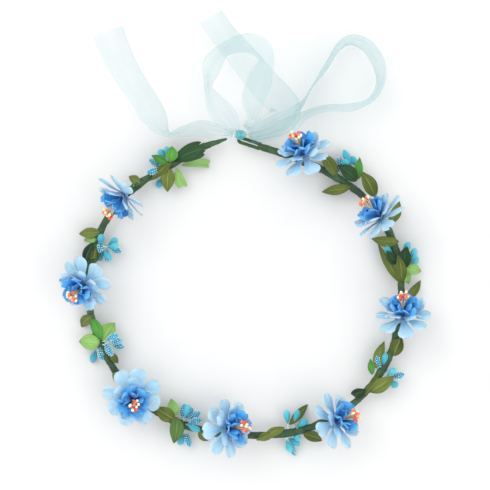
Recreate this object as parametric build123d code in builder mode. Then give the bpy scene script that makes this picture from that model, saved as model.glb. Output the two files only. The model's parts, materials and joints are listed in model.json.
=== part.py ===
from build123d import *
import os
from math import cos, radians, sin

# A flower crown lying flat: a hoop of taped wire that carries eight fabric
# flower heads, eight clusters of buds and many leaves, closed by a ribbon bow.
# Millimetres. +Z up, the origin on the table at the middle of the hoop, and
# the bow towards +Y.

# ---- driving dimensions -----------------------------------------------------
BAND_HEIGHT = 8.0  # height of the hoop's centreline above the table
TAPE_RADIUS = 2.2
CORE_RADIUS = 0.7
CORE_CLEARANCE = 0.02
BAND_BEND = 75.0  # radius of each bend of the hoop

STEM_RADIUS = 0.9
KNUCKLE_RADIUS = 1.1  # the rounded foot that a flower stem bends on
KNUCKLE_GAP = 0.35
WIRE_RADIUS = 0.6
WIRE_CLEARANCE = 0.05
STEM_SETBACK = 9.0  # how far behind its flower a stem leaves the hoop

PETAL_THICKNESS = 0.5
OUTER_REACH, OUTER_TIP = 18.5, 4.6
MIDDLE_REACH, MIDDLE_TIP = 15.0, 4.8
INNER_REACH, INNER_TIP = 14.5, 4.2
UPPER_TILT = 98.0  # tilt of the petals that point up, from the flower's axis
HUB_CLEARANCE = 4.2  # lowest petal above the hoop's centreline
HUB_RISE = 12.0  # least height of a hub above it

LEAF_THICKNESS = 0.4
THREAD_RADIUS = 0.35
SMOOTH, BEADED = 2.0, 2.3  # radius of the two sorts of bud
BUD_PROFILE = [(0, 0), (0.22, 0.66), (0.55, 1), (0.86, 0.72), (1, 0)]
TUCK = 1.5  # threads and leaves end in the tape, this far from the core's middle

RIBBON_WIDTH = 20.0
RIBBON_THICKNESS = 0.35

# The hoop's route, from its left end beside the bow round by the bottom to its
# right end. The arcs pass about a millimetre inside these corners.
BAND = [
    (-26, 90), (-48, 78), (-74, 62.5), (-92, 39), (-101.5, 8), (-98, -24),
    (-84, -54), (-61, -79), (-28, -93), (8, -96), (42, -92), (72, -75.5),
    (94, -47), (101, -14), (100.5, 18), (86, 51), (60, 71), (30, 84), (12, 89.5),
]
LEFT_TIP = (-11, 95)
EYELET_END = (-4.5, 95)

# Flower heads, clockwise from the bow: hub x, hub y, and the azimuth and the
# elevation that the head faces.
FLOWERS = [
    (38, 83, 114, 32),
    (87, 43, 134, 12),
    (100.5, -19.5, 93, 30),
    (57, -85, 22, 34),
    (-11.5, -88.5, 8, 42),
    (-70.5, -70, -60, 76),
    (-100.5, 2.5, -133, 48),
    (-75, 59, -132, 9),
]

# Buds of each cluster: base, tip and radius.
BUDS = [
    [
        ((-50, 83, 9), (-55, 88, 4), SMOOTH),
        ((-48, 83, 10), (-50, 90, 7), SMOOTH),
        ((-51, 71, 8), (-56, 64, 1.2), SMOOTH),
        ((-54, 77, 11), (-61, 82, 9), BEADED),
        ((-54, 75, 11), (-62, 73, 13), BEADED),
    ],
    [
        ((-92, 26, 12), (-91, 34, 14), SMOOTH),
        ((-87, 27, 10), (-81, 31, 9), SMOOTH),
        ((-90, 23, 7), (-94, 17, 1.2), SMOOTH),
        ((-92, 29, 11), (-92, 22, 8), BEADED),
        ((-88, 24, 8), (-88, 16, 4), BEADED),
        ((-86, 26, 8), (-79, 22, 4), BEADED),
        ((-88, 25, 12), (-80, 27, 13), SMOOTH),
        ((-90, 24, 12), (-85, 17, 10), SMOOTH),
    ],
    [
        ((-88, -34, 12), (-80, -30, 14), BEADED),
        ((-84, -37, 9), (-77, -39, 6), BEADED),
        ((-92, -38, 10), (-91, -47, 8), BEADED),
        ((-89, -36, 13), (-84, -44, 13), BEADED),
        ((-95, -40, 8), (-98, -49, 1.2), SMOOTH),
        ((-86, -35, 14), (-78, -34, 10), BEADED),
        ((-90, -38, 9), (-86, -46, 7), SMOOTH),
    ],
    [
        ((-40, -84, 8), (-38, -75, 5), BEADED),
        ((-37, -85, 10), (-33, -77, 9), BEADED),
        ((-35, -86, 12), (-27, -85, 13), BEADED),
        ((-38, -84, 12), (-35, -75, 14), SMOOTH),
        ((-37, -87, 12), (-28, -92, 13), SMOOTH),
        ((-38, -94, 7), (-42, -102, 1.2), SMOOTH),
        ((-37, -94, 7), (-35, -103, 4), BEADED),
        ((-35, -85, 10), (-28, -80, 9), BEADED),
    ],
    [
        ((28, -88, 9), (27, -79, 6), SMOOTH),
        ((31, -88, 9), (35, -79, 6), SMOOTH),
        ((33, -90, 10), (41, -85, 8), SMOOTH),
        ((28, -97, 7), (36, -102, 4), SMOOTH),
        ((28, -99, 7), (33, -109, 1.3), BEADED),
        ((31, -97, 9), (36, -96, 7), SMOOTH),
        ((27, -98, 9), (30, -106, 7), SMOOTH),
    ],
    [
        ((87, -52, 10), (84, -43, 8), BEADED),
        ((95, -58, 9), (103, -56, 7), BEADED),
        ((89, -51, 10), (91, -42, 9), SMOOTH),
        ((93, -61, 7), (99, -64, 1.4), SMOOTH),
        ((91, -57, 11), (97, -52, 11), SMOOTH),
    ],
    [
        ((95, 19, 9), (90, 28, 8), SMOOTH),
        ((102, 21, 9), (106, 29, 8), SMOOTH),
        ((107, 17, 9), (110, 25, 8), SMOOTH),
        ((107, 13, 8), (112, 19, 1.2), SMOOTH),
    ],
    [
        ((69, 76, 9), (64, 88, 6), SMOOTH),
        ((72, 77, 8), (69, 84, 4), SMOOTH),
        ((64, 76, 8), (60, 83, 4), BEADED),
        ((61, 74, 7), (57, 79, 1.4), BEADED),
        ((67, 75, 9), (64, 82, 9), SMOOTH),
    ],
]

# Leaves beside each cluster: base, tip and width.
LEAVES = [
    [
        ((-47, 80, 13), (-46, 90, 12), 7),
        ((-49, 79, 12), (-59, 84, 15), 5),
        ((-46, 81, 11), (-60, 68, 11), 5),
        ((-48, 76, 12), (-49, 61, 9), 8),
        ((-43, 76, 10.2), (-39, 64, 5), 6),
        ((-45, 81, 10.5), (-25, 89, 13), 10),
        ((-40, 78, 10.2), (-22, 79, 0.5), 5),
    ],
    [
        ((-92, 35, 10.2), (-106, 34, 6), 6),
        ((-94, 30, 10.2), (-103, 30, 4), 4),
        ((-97, 28, 10.2), (-103, 16, 4), 6),
        ((-95, 25, 10.2), (-97, 15, 0.5), 5),
        ((-66, 66, 10.2), (-74, 71, 5), 5),
    ],
    [
        ((-97, -20, 11), (-91, -34, 11), 6),
        ((-91, -34, 10.2), (-83, -23, 7), 9),
        ((-92, -35, 10.2), (-106, -35, 6), 9),
        ((-86, -42, 10.2), (-81, -49, 6), 4),
        ((-97, -18, 10.2), (-105, -26, 0.5), 6),
    ],
    [
        ((-44, -85, 11), (-57, -77, 8), 8),
        ((-43, -83, 11.5), (-45, -100, 10), 8),
        ((-43, -82, 10.2), (-47, -72, 5), 6),
        ((-29, -92, 10.2), (-23, -99, 4), 5),
        ((-84, -55, 10.2), (-77, -62, 0.5), 6),
    ],
    [
        ((29, -88, 10.2), (41, -76, 0.5), 5),
        ((26, -90, 10.2), (12, -97, 5), 5),
        ((38, -94, 10.2), (50, -99, 4), 6),
        ((19, -94, 10.2), (8, -98, 5), 5),
    ],
    [
        ((84, -52, 10.2), (90, -35, 6), 6),
        ((81, -67, 10.2), (96, -57, 12), 8),
        ((82, -56, 10.2), (81, -46, 8), 4),
        ((86, -56, 10.2), (77, -69, 8), 5),
        ((78, -66, 10.2), (69, -69, 0.5), 5),
        ((96, -44, 10.2), (101, -32, 5), 8),
    ],
    [
        ((99, 15, 10.2), (91, 23, 11), 6),
        ((102, 12, 11), (104, 26, 12), 8),
        ((101, 3, 10.5), (98, 21, 14), 6),
        ((101, 2, 10.2), (86, 28, 5), 5),
        ((103, 12, 10.2), (114, 10, 5), 6),
        ((103, 11, 10.2), (106, 2, 4), 5),
        ((99, 29, 10.2), (82, 31, 5), 6),
        ((103, -9, 10.2), (114, 4, 0.5), 5),
    ],
    [
        ((72, 68, 11), (60, 78, 12), 8),
        ((73, 69, 10.2), (74, 83, 10), 5),
        ((84, 58, 10.2), (75, 74, 11), 8),
        ((68, 64, 10.2), (50, 61, 5), 6),
        ((59, 71, 10.2), (51, 86, 0.5), 7),
        ((93, 40, 10.2), (100, 55, 4), 6),
    ],
]

# Runs of the ribbon from the knot outwards: x, y, height of the lower edge above
# the table, roll of the ribbon's width from flat, and the width it's gathered to.
TAIL_LEFT = [
    (-7, 98, 6, 60, 7), (-18.5, 100, 2, 50, 16), (-28, 101.5, 1, 55, 20),
    (-39, 99.5, 0.5, 66, 20), (-48, 97.5, 0.3, 78, 20), (-54, 101.5, 0.3, 62, 20),
    (-59, 111, 0.3, 34, 20), (-65, 122, 0.3, 36, 20), (-74.5, 136, 0.3, 30, 20),
    (-81.5, 149.5, 0.3, 22, 20), (-88, 165, 0.3, 4, 20),
]
LOOP_LEFT = [
    (-5, 100, 7, 40, 7), (-11, 108, 3, 25, 16), (-18.5, 117, 2, 50, 20),
    (-23, 128.5, 2.4, 76, 20), (-20.5, 141.5, 2.4, 55, 20), (-13, 151.5, 2.4, 68, 20),
    (0.5, 156, 2.4, 60, 20), (10.5, 153, 2.4, 55, 20), (14.5, 144.5, 2.4, 62, 20),
    (11, 134.5, 2.4, 40, 20), (6.5, 122, 2.8, 40, 20), (6.5, 110.5, 3.4, 60, 18),
    (1, 101.5, 8, 50, 7),
]
TAIL_CENTRE = [
    (2, 98, 6, 20, 7), (12, 101.5, 1.5, 20, 14), (24, 107.5, 0.5, 16, 19),
    (26, 116.5, 0.3, 8, 20), (13, 131, 0.3, 10, 20), (-2, 149, 0.3, 24, 20),
    (-13, 162, 0.3, 32, 20), (-21.5, 173.5, 0.3, 34, 20),
]
LOOP_RIGHT = [
    (3, 97.5, 9, 20, 7), (14, 101, 6.5, 35, 14), (27, 107.5, 4.5, 58, 19),
    (36.5, 116, 1, 80, 20), (43.5, 127.5, 0.3, 86, 20), (53, 141.5, 0.3, 80, 20),
    (60, 153, 0.3, 78, 20), (69, 158, 0.3, 76, 20), (79.5, 153.5, 0.3, 72, 20),
    (86.5, 141.5, 0.3, 72, 20), (87, 129.5, 0.3, 76, 20), (80.5, 119.5, 0.3, 78, 20),
    (68, 115, 0.3, 70, 20), (52, 114.5, 0.3, 72, 20), (39, 110, 0.5, 70, 20),
    (27, 102.5, 2, 50, 18), (13, 98, 5, 35, 12), (4, 95.5, 7, 20, 7),
]


def place(point):
    """A point of the plan at the height of the hoop."""
    return Vector(point[0], point[1], BAND_HEIGHT)


def bearings(azimuth, elevation):
    """Unit vectors ahead, to the left and up for something that faces that way."""
    turn, rise = radians(azimuth), radians(elevation)
    ahead = Vector(cos(turn) * cos(rise), sin(turn) * cos(rise), sin(rise))
    left = Vector(-sin(turn), cos(turn), 0)
    return ahead, left, ahead.cross(left)


def save(builder, name):
    """Labels a finished piece and writes its file."""
    builder.part.label = name
    export_step(builder.part, f"parts/{name}.step")


os.makedirs("parts", exist_ok=True)

# ---- the hoop -----------------------------------------------------------------
with BuildLine() as hoop_line:
    FilletPolyline(*[place(point) for point in BAND], radius=BAND_BEND)
hoop = hoop_line.wire()
HOOP_SAMPLES = [hoop.position_at(step / 600) for step in range(601)]


def nearest_on_hoop(x, y):
    """The point of the hoop's centreline that is nearest to a place in plan."""
    return min(HOOP_SAMPLES, key=lambda point: (point.X - x) ** 2 + (point.Y - y) ** 2)


with BuildPart() as band_wire:
    with BuildSketch(Plane(origin=hoop @ 0, z_dir=hoop % 0)):
        Circle(CORE_RADIUS - CORE_CLEARANCE)
    sweep(path=hoop)
save(band_wire, "band_wire")

with BuildPart() as floral_tape:
    with BuildSketch(Plane(origin=hoop @ 0, z_dir=hoop % 0)):
        Circle(TAPE_RADIUS)
        Circle(CORE_RADIUS, mode=Mode.SUBTRACT)
    sweep(path=hoop)
    # the left end, wrapped to a point
    with BuildSketch(Plane(origin=hoop @ 0, z_dir=(hoop % 0) * -1)):
        Circle(TAPE_RADIUS)
    with BuildSketch(Plane(origin=place(LEFT_TIP), z_dir=(1, 0.2, 0))):
        Circle(0.8)
    loft()
save(floral_tape, "floral_tape")

# The right end of the wire is bent back into a long eye for the ribbon.
eyelet_start = hoop @ 1
eyelet_run = place(EYELET_END) - eyelet_start
EYELET_BAR, EYELET_WIDTH = 1.8, 5.2
with BuildPart() as ribbon_eyelet:
    eye_plane = Plane(origin=eyelet_start + eyelet_run * 0.5, x_dir=eyelet_run, z_dir=(0, 0, 1))
    with BuildSketch(eye_plane.offset(-EYELET_BAR / 2)):
        SlotOverall(eyelet_run.length, EYELET_WIDTH)
        SlotOverall(eyelet_run.length - 2 * EYELET_BAR, EYELET_WIDTH - 2 * EYELET_BAR, mode=Mode.SUBTRACT)
    extrude(amount=EYELET_BAR)
    fillet(ribbon_eyelet.edges().filter_by(Plane.XY), radius=0.45)
save(ribbon_eyelet, "ribbon_eyelet")


# ---- the flower heads -----------------------------------------------------------
def petal_ring(hub, facing, offset, count, tilts, reach, tip, root, phase):
    """Flat petals round the flower's axis, each leaning from the axis by its own
    tilt: tilts[0] for one that points up and tilts[1] for one that points down."""
    ahead, left, up = facing
    middle, swing = (tilts[0] + tilts[1]) / 2, (tilts[0] - tilts[1]) / 2
    for number in range(count):
        turn = radians(phase + 360 * number / count)
        outward = up * cos(turn) + left * sin(turn)
        tilt = radians(middle + swing * cos(turn))
        along = ahead * cos(tilt) + outward * sin(tilt)
        face = along.cross(ahead.cross(outward))
        with BuildSketch(Plane(origin=hub + ahead * offset, x_dir=along, z_dir=face)) as petal:
            with Locations((reach - tip, 0)):
                Circle(tip)
            with Locations((root[0], 0)):
                Circle(root[1])
            make_hull()
        extrude(petal.sketch, amount=PETAL_THICKNESS / 2, both=True)


def collar(hub, ahead, start, end, radius):
    """A short round boss on the flower's axis."""
    with BuildSketch(Plane(origin=hub + ahead * start, z_dir=ahead)) as disc:
        Circle(radius)
    extrude(disc.sketch, amount=end - start)


def wire_hole(hub, ahead):
    """The hole that the stem's wire passes through."""
    with BuildSketch(Plane(origin=hub - ahead * 3, z_dir=ahead)) as bore:
        Circle(WIRE_RADIUS + WIRE_CLEARANCE)
    extrude(bore.sketch, amount=12, mode=Mode.SUBTRACT)


pivots = {}
for number, (hub_x, hub_y, azimuth, elevation) in enumerate(FLOWERS, start=1):
    facing = bearings(azimuth, elevation)
    ahead, left, up = facing
    lower_tilt = min(86, max(60, elevation + 32))
    drop = OUTER_REACH * sin(radians(lower_tilt - elevation))
    hub = Vector(hub_x, hub_y, BAND_HEIGHT + max(HUB_RISE, HUB_CLEARANCE + drop))
    setback = STEM_SETBACK * cos(radians(elevation))
    foot = nearest_on_hoop(hub_x - setback * ahead.X, hub_y - setback * ahead.Y)
    pivot = foot + Vector(0, 0, TAPE_RADIUS + KNUCKLE_RADIUS + KNUCKLE_GAP)
    pivots[number] = (pivot, left * -1)

    with BuildPart() as stem:
        with BuildLine() as neck:
            TangentArc(hub - ahead, pivot, tangent=ahead * -1)
        with BuildSketch(Plane(origin=neck.line @ 0, z_dir=neck.line % 0)):
            Circle(STEM_RADIUS)
        sweep(path=neck.line)
        with BuildSketch(Plane(origin=pivot - left * KNUCKLE_RADIUS, z_dir=left)):
            Circle(KNUCKLE_RADIUS)
        extrude(amount=KNUCKLE_RADIUS * 2)
        with BuildSketch(Plane(origin=hub - ahead * 3.2, z_dir=ahead)):
            Circle(1.25)
        with BuildSketch(Plane(origin=hub - ahead * 0.45, z_dir=ahead)):
            Circle(1.7)
        loft()
        collar(hub, ahead, -0.5, 4.8, WIRE_RADIUS)
    save(stem, f"flower_{number}_stem")

    with BuildPart() as outer_petals:
        collar(hub, ahead, -0.4, 2.2, 2.1)
        petal_ring(hub, facing, 0, 8, (UPPER_TILT, lower_tilt), OUTER_REACH, OUTER_TIP, (2.2, 1.6), 0)
        petal_ring(hub, facing, 1, 5, (62, 48), MIDDLE_REACH, MIDDLE_TIP, (2.3, 1.3), 36)
        wire_hole(hub, ahead)
    save(outer_petals, f"flower_{number}_outer_petals")

    with BuildPart() as inner_petals:
        collar(hub, ahead, 2.4, 3.6, 1.15)
        petal_ring(hub, facing, 2.9, 6, (34, 26), INNER_REACH - 2.9, INNER_TIP, (1.3, 0.8), 15)
        wire_hole(hub, ahead)
    save(inner_petals, f"flower_{number}_inner_petals")

    with BuildPart() as stamens:
        collar(hub, ahead, 4.9, 5.7, 0.8)
        for spoke in range(7):
            lean = 0 if spoke == 0 else 13
            turn = radians(60 * spoke)
            outward = up * cos(turn) + left * sin(turn)
            along = ahead * cos(radians(lean)) + outward * sin(radians(lean))
            root = hub + ahead * 5.2
            collar(root, along, 0, 9.5, 0.25)
            collar(root, along, 8.5, 11, 0.7)
    save(stamens, f"flower_{number}_stamens")

# ---- buds and leaves ------------------------------------------------------------
# what they leave free for the wire core, which they are bound to inside the tape
with BuildPart() as core_space:
    with BuildSketch(Plane(origin=hoop @ 0, z_dir=hoop % 0)):
        Circle(CORE_RADIUS)
    sweep(path=hoop)

for number, buds in enumerate(BUDS, start=1):
    with BuildPart() as cluster:
        for base, tip, radius in buds:
            base, tip = Vector(*base), Vector(*tip)
            along = (tip - base).normalized()
            length = (tip - base).length
            across = along.cross(Vector(0, 0, 1)).normalized()
            with BuildSketch(Plane(origin=base, x_dir=along, z_dir=across)):
                with BuildLine():
                    Polyline(*[(length * far, radius * wide) for far, wide in BUD_PROFILE], close=True)
                make_face()
            revolve(axis=Axis(base, along))
            thread = base + along - nearest_on_hoop(base.X, base.Y)
            collar(base + along, thread.normalized() * -1, 0, thread.length - TUCK, THREAD_RADIUS)
        add(core_space.part, mode=Mode.SUBTRACT)
    save(cluster, f"bud_cluster_{number}")

for number, leaves in enumerate(LEAVES, start=1):
    with BuildPart() as spray:
        for base, tip, width in leaves:
            base, tip = Vector(*base), Vector(*tip)
            along = (tip - base).normalized()
            length = (tip - base).length
            face = along.cross(Vector(0, 0, 1).cross(along))
            with BuildSketch(Plane(origin=base, x_dir=along, z_dir=face)):
                with BuildLine():
                    ThreePointArc((0, 0), (length * 0.45, width / 2), (length, 0))
                    ThreePointArc((length, 0), (length * 0.45, -width / 2), (0, 0))
                make_face()
            extrude(amount=LEAF_THICKNESS / 2, both=True)
        add(core_space.part, mode=Mode.SUBTRACT)
    save(spray, f"leaves_{number}")


# ---- the ribbon -----------------------------------------------------------------
def ribbon_run(stations):
    """A ruled strip through the stations."""
    centres = []
    for x, y, lift, roll, width in stations:
        centres.append(Vector(x, y, lift + width / 2 * sin(radians(roll)) + RIBBON_THICKNESS / 2))
    last = len(stations) - 1
    sections = []
    for index, (x, y, lift, roll, width) in enumerate(stations):
        heading = (centres[min(index + 1, last)] - centres[max(index - 1, 0)]).normalized()
        across = Vector(0, 0, 1).cross(heading).normalized()
        upward = heading.cross(across)
        breadth = across * cos(radians(roll)) + upward * sin(radians(roll))
        with BuildSketch(Plane(origin=centres[index], x_dir=breadth, z_dir=heading)) as section:
            Rectangle(width, RIBBON_THICKNESS)
        sections.append(section.sketch)
    loft(sections, ruled=True)


for name, stations in (
    ("ribbon_tail_left", TAIL_LEFT),
    ("ribbon_loop_left", LOOP_LEFT),
    ("ribbon_tail_centre", TAIL_CENTRE),
    ("ribbon_loop_right", LOOP_RIGHT),
):
    with BuildPart() as run:
        ribbon_run(stations)
    save(run, name)

with BuildPart() as ribbon_knot:
    with Locations((-2.5, 97.5, 11)):
        Box(10, 7, 8)
    fillet(ribbon_knot.edges(), radius=2.4)
save(ribbon_knot, "ribbon_knot")
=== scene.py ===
import json
import random
from math import cos, log, pi, radians, sin, sqrt, tau

import bpy
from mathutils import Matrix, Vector, kdtree, noise


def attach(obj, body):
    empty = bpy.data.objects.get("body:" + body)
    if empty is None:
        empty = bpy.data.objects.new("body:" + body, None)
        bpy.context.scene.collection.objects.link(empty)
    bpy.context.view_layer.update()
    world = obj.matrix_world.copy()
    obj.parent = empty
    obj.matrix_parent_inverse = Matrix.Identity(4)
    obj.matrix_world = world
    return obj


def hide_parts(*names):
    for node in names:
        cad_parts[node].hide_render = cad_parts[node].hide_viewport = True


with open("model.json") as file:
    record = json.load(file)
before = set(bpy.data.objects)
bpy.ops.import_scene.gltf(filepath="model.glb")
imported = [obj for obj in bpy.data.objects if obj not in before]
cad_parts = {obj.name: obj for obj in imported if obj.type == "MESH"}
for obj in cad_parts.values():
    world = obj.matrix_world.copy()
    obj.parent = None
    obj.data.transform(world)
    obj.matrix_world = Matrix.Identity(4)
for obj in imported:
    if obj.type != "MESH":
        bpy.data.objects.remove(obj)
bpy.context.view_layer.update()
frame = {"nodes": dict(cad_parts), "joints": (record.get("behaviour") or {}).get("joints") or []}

# A flower crown lying on a pale floor. Tables and shapes are in millimetres, in
# the CAD model's frame, and Shape.build turns them into metres.
MM = 0.001

# ---- driving dimensions -------------------------------------------------------
HOOP_HEIGHT = 8.0
TAPE_RADIUS = 2.1
TAPE_PITCH = 6.5  # advance of the wrapped tape in one turn
TAPE_CLEAR = 3.3  # how far from the hoop's middle a leaf that crosses it lies
EYE_BAR, EYE_WIDTH = 1.12, 5.2  # the ribbon's eye: radius of its wrapped wire, overall width

PETAL_CLOTH = 0.22
LEAF_CLOTH = 0.25
THREAD = 0.3
BEAD = 0.38
BEAD_SPACING = 1.44

RIBBON_WIDTH = 20.0
RIBBON_THICKNESS = 0.35
KNOT = Vector((-2.5, 97.5, 11))

# The hoop's route, from its left end beside the bow round by the bottom.
BAND = [
    (-26, 90), (-48, 78), (-74, 62.5), (-92, 39), (-101.5, 8), (-98, -24),
    (-84, -54), (-61, -79), (-28, -93), (8, -96), (42, -92), (72, -75.5),
    (94, -47), (101, -14), (100.5, 18), (86, 51), (60, 71), (30, 84), (12, 89.5),
]
LEFT_TIP = (-11, 95)
EYELET_END = (-4.5, 95)

# Flower heads: hub x, hub y, and the azimuth and elevation that the head faces.
FLOWERS = [
    (38, 83, 114, 32),
    (87, 43, 134, 12),
    (100.5, -19.5, 93, 30),
    (57, -85, 22, 34),
    (-11.5, -88.5, 8, 42),
    (-70.5, -70, -60, 76),
    (-100.5, 2.5, -133, 48),
    (-75, 59, -132, 9),
]
HUB_CLEARANCE, HUB_RISE = 4.2, 12.0
OUTER_REACH = 18.5  # how far an outer petal reaches from the hub

# Rings of petals from the outside in: how many, where on the axis, the turn of
# the first, length, half-widths at root and near the tip, tilt from the axis of
# petals that point up and down (None where it follows the head's lean), how far
# each bends, cup, fold, ruffle, twist and unevenness.
OUTER = dict(
    count=8, offset=0.2, phase=0, length=18.4, root=1.9, tip=5.2, widest=0.75,
    tilts=(98, None), bend=11, cup=0.1, fold=0, ruffle=0.5, twist=8, sway=4,
)
MIDDLE = dict(
    count=5, offset=1.2, phase=36, length=15.8, root=2.1, tip=5.6, widest=0.72,
    tilts=(66, 50), bend=14, cup=0.2, fold=0, ruffle=0.8, twist=14, sway=7,
)
INNER = dict(
    count=6, offset=2.5, phase=15, length=14.2, root=1.7, tip=5.0, widest=0.68,
    tilts=(43, 34), bend=15, cup=0.3, fold=0.25, ruffle=0.9, twist=22, sway=8,
)
HEART = dict(
    count=4, offset=3.2, phase=40, length=11.6, root=1.4, tip=4.0, widest=0.66,
    tilts=(25, 20), bend=11, cup=0.28, fold=0.55, ruffle=0.8, twist=28, sway=10,
)
STAMENS = 13
STAMEN_ROOT, STAMEN_REACH = 4.9, 16.4

SMOOTH, BEADED = 2.0, 2.3  # radius of the two sorts of bud
BUDS = [
    [
        ((-50, 83, 9), (-55, 88, 4), SMOOTH),
        ((-48, 83, 10), (-50, 90, 7), SMOOTH),
        ((-51, 71, 8), (-56, 64, 1.2), SMOOTH),
        ((-54, 77, 11), (-61, 82, 9), BEADED),
        ((-54, 75, 11), (-62, 73, 13), BEADED),
    ],
    [
        ((-92, 26, 12), (-91, 34, 14), SMOOTH),
        ((-87, 27, 10), (-81, 31, 9), SMOOTH),
        ((-90, 23, 7), (-94, 17, 1.2), SMOOTH),
        ((-92, 29, 11), (-92, 22, 8), BEADED),
        ((-88, 24, 8), (-88, 16, 4), BEADED),
        ((-86, 26, 8), (-79, 22, 4), BEADED),
        ((-88, 25, 12), (-80, 27, 13), SMOOTH),
        ((-90, 24, 12), (-85, 17, 10), SMOOTH),
    ],
    [
        ((-88, -34, 12), (-80, -30, 14), BEADED),
        ((-84, -37, 9), (-77, -39, 6), BEADED),
        ((-92, -38, 10), (-91, -47, 8), BEADED),
        ((-89, -36, 13), (-84, -44, 13), BEADED),
        ((-95, -40, 8), (-98, -49, 1.2), SMOOTH),
        ((-86, -35, 14), (-78, -34, 10), BEADED),
        ((-90, -38, 9), (-86, -46, 7), SMOOTH),
    ],
    [
        ((-40, -84, 8), (-38, -75, 5), BEADED),
        ((-37, -85, 10), (-33, -77, 9), BEADED),
        ((-35, -86, 12), (-27, -85, 13), BEADED),
        ((-38, -84, 12), (-35, -75, 14), SMOOTH),
        ((-37, -87, 12), (-28, -92, 13), SMOOTH),
        ((-38, -94, 7), (-42, -102, 1.2), SMOOTH),
        ((-37, -94, 7), (-35, -103, 4), BEADED),
        ((-35, -85, 10), (-28, -80, 9), BEADED),
    ],
    [
        ((28, -88, 9), (27, -79, 6), SMOOTH),
        ((31, -88, 9), (35, -79, 6), SMOOTH),
        ((33, -90, 10), (41, -85, 8), SMOOTH),
        ((28, -97, 7), (36, -102, 4), SMOOTH),
        ((28, -99, 7), (33, -109, 1.3), BEADED),
        ((31, -97, 9), (36, -96, 7), SMOOTH),
        ((27, -98, 9), (30, -106, 7), SMOOTH),
    ],
    [
        ((87, -52, 10), (84, -43, 8), BEADED),
        ((95, -58, 9), (103, -56, 7), BEADED),
        ((89, -51, 10), (91, -42, 9), SMOOTH),
        ((93, -61, 7), (99, -64, 1.4), SMOOTH),
        ((91, -57, 11), (97, -52, 11), SMOOTH),
    ],
    [
        ((95, 19, 9), (90, 28, 8), SMOOTH),
        ((102, 21, 9), (106, 29, 8), SMOOTH),
        ((107, 17, 9), (110, 25, 8), SMOOTH),
        ((107, 13, 8), (112, 19, 1.2), SMOOTH),
    ],
    [
        ((69, 76, 9), (64, 88, 6), SMOOTH),
        ((72, 77, 8), (69, 84, 4), SMOOTH),
        ((64, 76, 8), (60, 83, 4), BEADED),
        ((61, 74, 7), (57, 79, 1.4), BEADED),
        ((67, 75, 9), (64, 82, 9), SMOOTH),
    ],
]

# Leaves beside each cluster: base, tip, width and colour.
LEAVES = [
    [
        ((-47, 80, 13), (-46, 90, 12), 7, "bright"),
        ((-49, 79, 12), (-59, 84, 15), 5, "bright"),
        ((-46, 81, 11), (-60, 68, 11), 5, "olive"),
        ((-48, 76, 12), (-49, 61, 9), 8, "olive"),
        ((-43, 76, 10.2), (-39, 64, 5), 6, "light"),
        ((-45, 81, 10.5), (-25, 89, 13), 10, "dark"),
        ((-40, 78, 10.2), (-22, 79, 0.5), 5, "light"),
    ],
    [
        ((-92, 35, 10.2), (-106, 34, 6), 6, "olive"),
        ((-94, 30, 10.2), (-103, 30, 4), 4, "light"),
        ((-97, 28, 10.2), (-103, 16, 4), 6, "dark"),
        ((-95, 25, 10.2), (-97, 15, 0.5), 5, "olive"),
        ((-66, 66, 10.2), (-74, 71, 5), 5, "olive"),
    ],
    [
        ((-97, -20, 11), (-91, -34, 11), 6, "bright"),
        ((-91, -34, 10.2), (-83, -23, 7), 9, "light"),
        ((-92, -35, 10.2), (-106, -35, 6), 9, "light"),
        ((-86, -42, 10.2), (-81, -49, 6), 4, "olive"),
        ((-97, -18, 10.2), (-105, -26, 0.5), 6, "olive"),
    ],
    [
        ((-44, -85, 11), (-57, -77, 8), 8, "olive"),
        ((-43, -83, 11.5), (-45, -100, 10), 8, "green"),
        ((-43, -82, 10.2), (-47, -72, 5), 6, "light"),
        ((-29, -92, 10.2), (-23, -99, 4), 5, "olive"),
        ((-84, -55, 10.2), (-77, -62, 0.5), 6, "olive"),
    ],
    [
        ((29, -88, 10.2), (41, -76, 0.5), 5, "olive"),
        ((26, -90, 10.2), (12, -97, 5), 5, "olive"),
        ((38, -94, 10.2), (50, -99, 4), 6, "olive"),
        ((19, -94, 10.2), (8, -98, 5), 5, "olive"),
    ],
    [
        ((84, -52, 10.2), (90, -35, 6), 6, "olive"),
        ((81, -67, 10.2), (96, -57, 12), 8, "olive"),
        ((82, -56, 10.2), (81, -46, 8), 4, "bright"),
        ((86, -56, 10.2), (77, -69, 8), 5, "olive"),
        ((78, -66, 10.2), (69, -69, 0.5), 5, "dark"),
        ((96, -44, 10.2), (101, -32, 5), 8, "olive"),
    ],
    [
        ((99, 15, 10.2), (91, 23, 11), 6, "dark"),
        ((102, 12, 11), (104, 26, 12), 8, "dark"),
        ((101, 3, 10.5), (98, 21, 14), 6, "olive"),
        ((101, 2, 10.2), (86, 28, 5), 5, "olive"),
        ((103, 12, 10.2), (114, 10, 5), 6, "light"),
        ((103, 11, 10.2), (106, 2, 4), 5, "light"),
        ((99, 29, 10.2), (82, 31, 5), 6, "olive"),
        ((103, -9, 10.2), (114, 4, 0.5), 5, "olive"),
    ],
    [
        ((72, 68, 11), (60, 78, 12), 8, "dark"),
        ((73, 69, 10.2), (74, 83, 10), 5, "bright"),
        ((84, 58, 10.2), (75, 74, 11), 8, "olive"),
        ((68, 64, 10.2), (50, 61, 5), 6, "olive"),
        ((59, 71, 10.2), (51, 86, 0.5), 7, "olive"),
        ((93, 40, 10.2), (100, 55, 4), 6, "olive"),
    ],
]

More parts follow.
